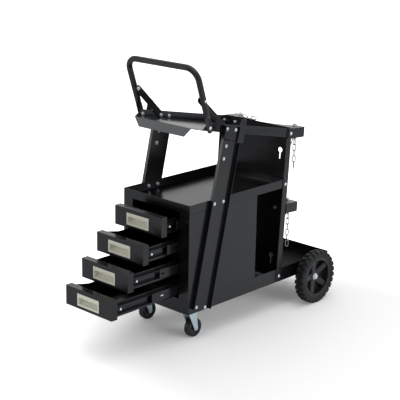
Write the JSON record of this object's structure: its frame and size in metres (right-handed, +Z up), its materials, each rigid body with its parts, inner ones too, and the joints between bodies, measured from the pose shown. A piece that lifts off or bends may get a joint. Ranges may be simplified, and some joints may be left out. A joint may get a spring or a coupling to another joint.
{
  "type": "welding cart",
  "caption": "Black steel welding cart with sliding drawers, mid shelf, sloped top tray, tube handle, cable hooks, chained cylinder bay, swivel casters and large rear wheels.",
  "frame": {"origin": "on the floor, under the middle of the bounding box of the pictured pose", "axes": "+X to the cart's right seen from the drawers, +Y from the drawers to the cylinder bay, +Z up"},
  "size_m": [0.42, 1.0372, 0.9124],
  "materials": {
    "coat": "semi-gloss black powder coat",
    "slide": "black coated slide steel",
    "zinc": "bright zinc plating",
    "ivory": "satin moulded plastic",
    "tyre": "black rubber",
    "plastic": "satin black moulded plastic"
  },
  "bodies": {
    "cart": {"base_pan": "coat", "cabinet_side_left": "coat", "cabinet_side_right": "coat", "cabinet_divider": "coat", "mid_shelf": "coat", "slide_rack_left": "slide", "slide_rack_right": "slide", "front_post_left": "coat", "front_post_right": "coat", "cable_hook_left": "coat", "cable_hook_right": "coat", "rear_post_left": "coat", "rear_post_right": "coat", "back_panel": "coat", "top_tray": "coat", "handle_strut_left": "coat", "handle_strut_right": "coat", "handle": "coat", "tank_bracket_upper": "coat", "tank_bracket_lower": "coat", "eye_bolt_upper_left": "zinc", "eye_bolt_upper_right": "zinc", "eye_bolt_lower_left": "zinc", "eye_bolt_lower_right": "zinc", "caster_plate_left": "zinc", "caster_plate_right": "zinc", "rear_axle": "zinc", "axle_bracket_left": "coat", "axle_bracket_right": "coat", "axle_nut_left": "zinc", "axle_nut_right": "zinc"},
    "drawer_1": {"drawer_1": "coat", "drawer_pull_1": "ivory"},
    "runners_1": {"drawer_runner_1_left": "slide", "drawer_runner_1_right": "slide"},
    "drawer_2": {"drawer_2": "coat", "drawer_pull_2": "ivory"},
    "runners_2": {"drawer_runner_2_left": "slide", "drawer_runner_2_right": "slide"},
    "drawer_3": {"drawer_3": "coat", "drawer_pull_3": "ivory"},
    "runners_3": {"drawer_runner_3_left": "slide", "drawer_runner_3_right": "slide"},
    "drawer_4": {"drawer_4": "coat", "drawer_pull_4": "ivory"},
    "runners_4": {"drawer_runner_4_left": "slide", "drawer_runner_4_right": "slide"},
    "caster_right": {"caster_fork_right": "zinc"},
    "caster_wheel_right": {"caster_wheel_right": "plastic"},
    "rear_wheel_right": {"rear_tyre_right": "tyre", "rear_rim_right": "plastic"},
    "caster_left": {"caster_fork_left": "zinc"},
    "caster_wheel_left": {"caster_wheel_left": "plastic"},
    "rear_wheel_left": {"rear_tyre_left": "tyre", "rear_rim_left": "plastic"},
    "chain_upper": {"chain_upper": "zinc"},
    "chain_tail_upper": {"chain_tail_upper": "zinc"},
    "chain_lower": {"chain_lower": "zinc"},
    "chain_tail_lower": {"chain_tail_lower": "zinc"}
  },
  "joints": [
    {"name": "drawer_1_slide", "type": "slide", "parent": "cart", "child": "drawer_1", "axis": [0, -1, 0], "range_m": [-0.081, 0.219]},
    {"name": "runners_1_slide", "type": "slide", "parent": "cart", "child": "runners_1", "axis": [0, -1, 0], "range_m": [-0.0405, 0.1095]},
    {"name": "drawer_2_slide", "type": "slide", "parent": "cart", "child": "drawer_2", "axis": [0, -1, 0], "range_m": [-0.161, 0.139]},
    {"name": "runners_2_slide", "type": "slide", "parent": "cart", "child": "runners_2", "axis": [0, -1, 0], "range_m": [-0.0805, 0.0695]},
    {"name": "drawer_3_slide", "type": "slide", "parent": "cart", "child": "drawer_3", "axis": [0, -1, 0], "range_m": [-0.226, 0.074]},
    {"name": "runners_3_slide", "type": "slide", "parent": "cart", "child": "runners_3", "axis": [0, -1, 0], "range_m": [-0.113, 0.037]},
    {"name": "drawer_4_slide", "type": "slide", "parent": "cart", "child": "drawer_4", "axis": [0, -1, 0], "range_m": [-0.294, 0.006]},
    {"name": "runners_4_slide", "type": "slide", "parent": "cart", "child": "runners_4", "axis": [0, -1, 0], "range_m": [-0.147, 0.003]},
    {"name": "caster_right_swivel", "type": "hinge", "parent": "cart", "child": "caster_right", "pos_m": [0.107, -0.17035, 0.09], "axis": [0, 0, 1], "continuous": true},
    {"name": "caster_wheel_right_spin", "type": "hinge", "parent": "caster_right", "child": "caster_wheel_right", "pos_m": [0.107, -0.15235, 0.032], "axis": [1, 0, 0], "continuous": true},
    {"name": "rear_wheel_right_spin", "type": "hinge", "parent": "cart", "child": "rear_wheel_right", "pos_m": [0.192, 0.38965, 0.095], "axis": [1, 0, 0], "continuous": true},
    {"name": "caster_left_swivel", "type": "hinge", "parent": "cart", "child": "caster_left", "pos_m": [-0.107, -0.17035, 0.09], "axis": [0, 0, 1], "continuous": true},
    {"name": "caster_wheel_left_spin", "type": "hinge", "parent": "caster_left", "child": "caster_wheel_left", "pos_m": [-0.107, -0.15235, 0.032], "axis": [1, 0, 0], "continuous": true},
    {"name": "rear_wheel_left_spin", "type": "hinge", "parent": "cart", "child": "rear_wheel_left", "pos_m": [-0.192, 0.38965, 0.095], "axis": [1, 0, 0], "continuous": true},
    {"name": "chain_upper_swing", "type": "hinge", "parent": "cart", "child": "chain_upper", "pos_m": [0, 0.32555, 0.6139], "axis": [1, 0, 0], "range_deg": [-12, 34]},
    {"name": "chain_tail_upper_swing", "type": "hinge", "parent": "cart", "child": "chain_tail_upper", "pos_m": [0.1256, 0.32555, 0.6139], "axis": [1, 0, 0], "range_deg": [-12, 34]},
    {"name": "chain_lower_swing", "type": "hinge", "parent": "cart", "child": "chain_lower", "pos_m": [0, 0.30454, 0.35207], "axis": [1, 0, 0], "range_deg": [-12, 34]},
    {"name": "chain_tail_lower_swing", "type": "hinge", "parent": "cart", "child": "chain_tail_lower", "pos_m": [0.1256, 0.30454, 0.35207], "axis": [1, 0, 0], "range_deg": [-12, 34]}
  ],
  "couplings": [
    {"joint": "runners_1_slide", "follows": "drawer_1_slide", "ratio": 0.5},
    {"joint": "runners_2_slide", "follows": "drawer_2_slide", "ratio": 0.5},
    {"joint": "runners_3_slide", "follows": "drawer_3_slide", "ratio": 0.5},
    {"joint": "runners_4_slide", "follows": "drawer_4_slide", "ratio": 0.5}
  ]
}
